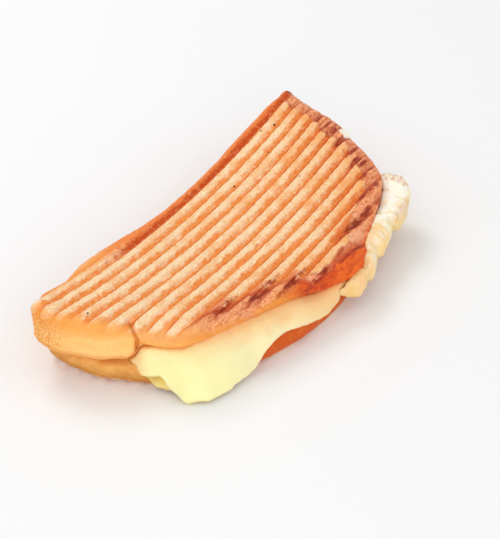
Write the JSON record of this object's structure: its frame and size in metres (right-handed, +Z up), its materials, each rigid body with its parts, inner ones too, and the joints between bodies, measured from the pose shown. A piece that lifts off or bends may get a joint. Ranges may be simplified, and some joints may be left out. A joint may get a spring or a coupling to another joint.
{
  "type": "toasted cheese sandwich",
  "caption": "Toasted cheese sandwich pressed between ribbed grill plates, with melted cheese running out along one side and at a corner, to lie on a plate or be held in the hand.",
  "frame": {"origin": "middle of the underside of the box round the whole sandwich, on the surface that it lies on", "axes": "+X along the ribs, towards the end where the cheese hangs out; +Y across the ribs, towards the straight long edge; +Z up, towards the ribbed face that the picture shows"},
  "size_m": [0.232, 0.116, 0.0416],
  "materials": {
    "top_toast": "browned bread, cream ridges between orange-brown grill grooves, glossy dark crust at the edge",
    "bottom_toast": "toasted bread with an orange-brown crust",
    "melted_cheese": "soft sheen, pale yellow, browned where it touched the hot plate",
    "folded_cheese": "soft sheen, cream, slightly browned at the edge"
  },
  "bodies": {
    "root": {"top_slice": "top_toast", "bottom_slice": "bottom_toast", "cheese_layer": "melted_cheese", "cheese_fold": "folded_cheese"}
  },
  "joints": []
}
